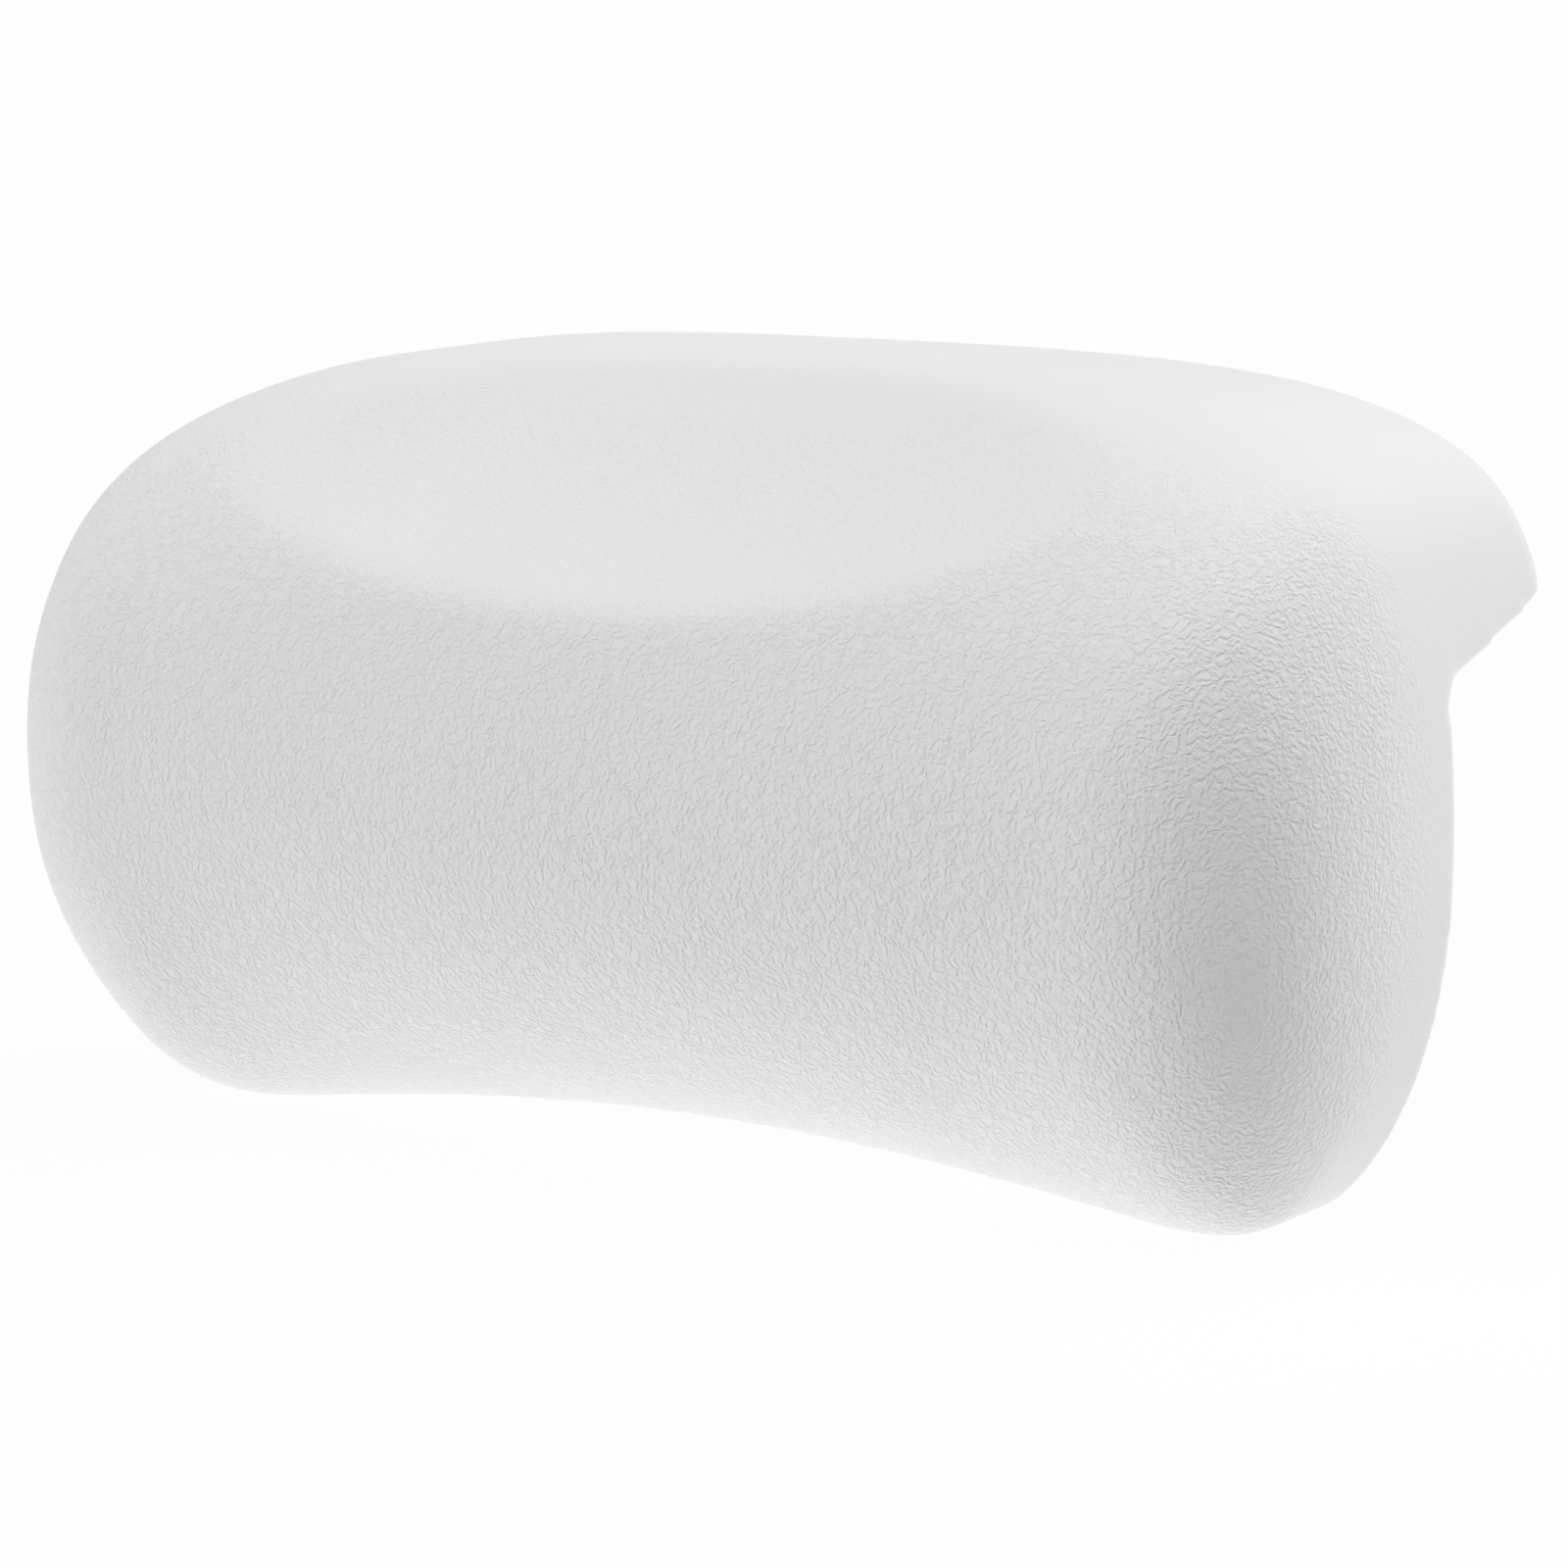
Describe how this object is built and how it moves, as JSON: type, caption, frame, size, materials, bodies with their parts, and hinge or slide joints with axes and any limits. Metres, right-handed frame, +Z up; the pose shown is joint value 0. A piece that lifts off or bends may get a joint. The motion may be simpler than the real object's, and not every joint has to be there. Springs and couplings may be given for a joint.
{
  "type": "bath pillow",
  "caption": "Moulded bath pillow with a grained skin, a shallow head hollow and a lip for the tub's rim; suction cups hang in keyhole sockets on its back plate.",
  "frame": {"origin": "middle of the bounding box's bottom face, on the surface that the pillow's two feet stand on", "axes": "+X along the pillow's length, +Y towards the tub's wall (the head hollow faces -Y), +Z up"},
  "size_m": [0.33, 0.1312, 0.1687],
  "materials": {
    "skin": "satin",
    "foam": "matte",
    "plate": "satin",
    "socket": "satin",
    "stud": "satin",
    "cup": "gloss"
  },
  "bodies": {
    "pillow": {"grained_skin": "skin", "foam_core": "foam", "back_plate": "plate", "keyhole_socket_1": "socket", "keyhole_socket_2": "socket", "keyhole_socket_3": "socket", "keyhole_socket_4": "socket"},
    "stud_1": {"cup_stud_1": "stud"},
    "stud_2": {"cup_stud_2": "stud"},
    "stud_3": {"cup_stud_3": "stud"},
    "stud_4": {"cup_stud_4": "stud"},
    "cup_1": {"suction_cup_1": "cup"},
    "cup_2": {"suction_cup_2": "cup"},
    "cup_3": {"suction_cup_3": "cup"},
    "cup_4": {"suction_cup_4": "cup"}
  },
  "joints": [
    {"name": "cup_1_hang", "type": "slide", "parent": "pillow", "child": "stud_1", "axis": [0, 0, 1], "range_m": [-0.009, 0]},
    {"name": "cup_2_hang", "type": "slide", "parent": "pillow", "child": "stud_2", "axis": [0, 0, 1], "range_m": [-0.009, 0]},
    {"name": "cup_3_hang", "type": "slide", "parent": "pillow", "child": "stud_3", "axis": [0, 0, 1], "range_m": [-0.009, 0]},
    {"name": "cup_4_hang", "type": "slide", "parent": "pillow", "child": "stud_4", "axis": [0, 0, 1], "range_m": [-0.009, 0]},
    {"name": "cup_1_swivel", "type": "hinge", "parent": "stud_1", "child": "cup_1", "pos_m": [-0.09, 0.01588, 0.06331], "axis": [0, 1, 0], "continuous": true},
    {"name": "cup_2_swivel", "type": "hinge", "parent": "stud_2", "child": "cup_2", "pos_m": [-0.03, 0.01588, 0.06331], "axis": [0, 1, 0], "continuous": true},
    {"name": "cup_3_swivel", "type": "hinge", "parent": "stud_3", "child": "cup_3", "pos_m": [0.03, 0.01588, 0.06331], "axis": [0, 1, 0], "continuous": true},
    {"name": "cup_4_swivel", "type": "hinge", "parent": "stud_4", "child": "cup_4", "pos_m": [0.09, 0.01588, 0.06331], "axis": [0, 1, 0], "continuous": true}
  ]
}
